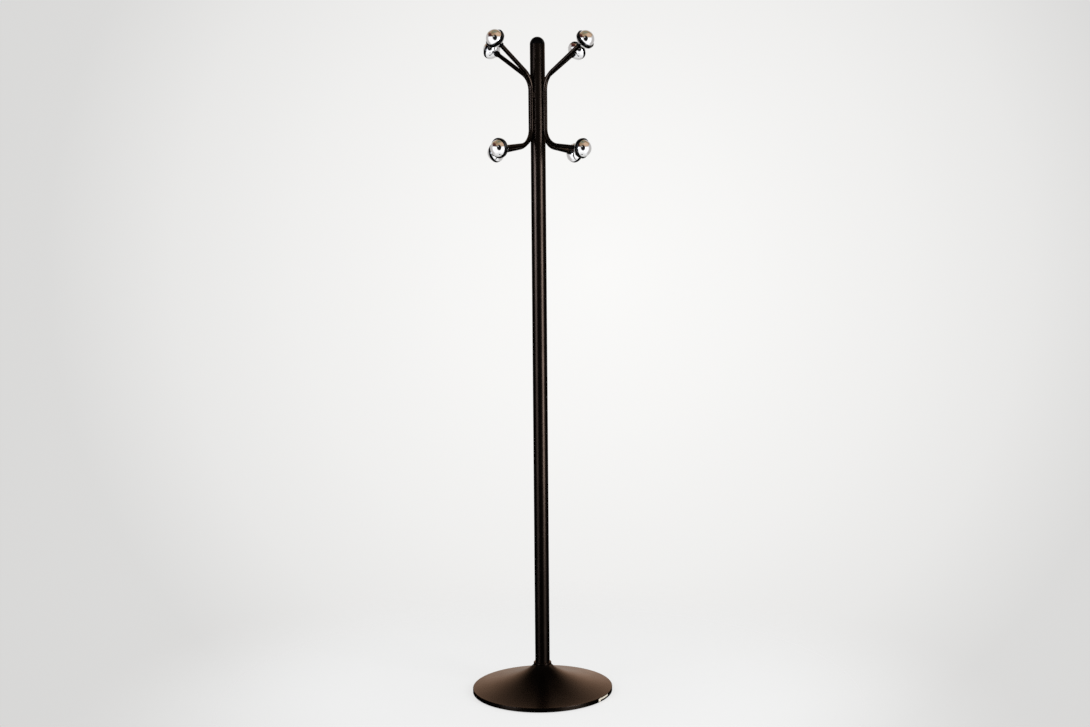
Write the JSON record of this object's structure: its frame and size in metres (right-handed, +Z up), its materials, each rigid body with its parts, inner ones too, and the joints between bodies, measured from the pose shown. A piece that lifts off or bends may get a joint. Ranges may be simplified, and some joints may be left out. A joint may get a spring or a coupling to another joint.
{
  "type": "standing coat rack",
  "caption": "Tall coat stand: slim round column on a flared round foot, bent rods around the top ending in chrome ball knobs with black bands.",
  "frame": {"origin": "centre of the foot's underside, on the floor", "axes": "+Z up along the column, -Y towards the front, +X to the right as seen from the front; the four arms point along the diagonals"},
  "size_m": [0.367, 0.367, 1.7024],
  "materials": {
    "lacquer": "semi-gloss brown-black lacquer",
    "cap": "semi-gloss",
    "chrome": "polished",
    "band": "semi-gloss",
    "iron": "as cast",
    "steel": "zinc-plated",
    "pad": "matt",
    "strip": "matt, blank"
  },
  "bodies": {
    "root": {"foot_cover": "lacquer", "neck_collar": "lacquer", "foot_weight": "iron", "floor_plate": "steel", "floor_pad": "pad", "foot_bolt": "steel", "flat_washer": "steel", "spring_washer": "steel", "column_plug": "steel", "column_tube": "lacquer", "column_cap": "cap", "rim_strip": "strip", "arm_front_right": "lacquer", "arm_back_right": "lacquer", "arm_back_left": "lacquer", "arm_front_left": "lacquer", "arm_welds": "lacquer", "knob_studs": "steel", "upper_front_right_dome": "chrome", "upper_front_right_band": "band", "upper_front_right_back": "chrome", "upper_front_right_collar": "band", "upper_back_right_dome": "chrome", "upper_back_right_band": "band", "upper_back_right_back": "chrome", "upper_back_right_collar": "band", "upper_back_left_dome": "chrome", "upper_back_left_band": "band", "upper_back_left_back": "chrome", "upper_back_left_collar": "band", "upper_front_left_dome": "chrome", "upper_front_left_band": "band", "upper_front_left_back": "chrome", "upper_front_left_collar": "band", "lower_front_right_dome": "chrome", "lower_front_right_band": "band", "lower_front_right_back": "chrome", "lower_front_right_collar": "band", "lower_back_right_dome": "chrome", "lower_back_right_band": "band", "lower_back_right_back": "chrome", "lower_back_right_collar": "band", "lower_back_left_dome": "chrome", "lower_back_left_band": "band", "lower_back_left_back": "chrome", "lower_back_left_collar": "band", "lower_front_left_dome": "chrome", "lower_front_left_band": "band", "lower_front_left_back": "chrome", "lower_front_left_collar": "band"}
  },
  "joints": []
}
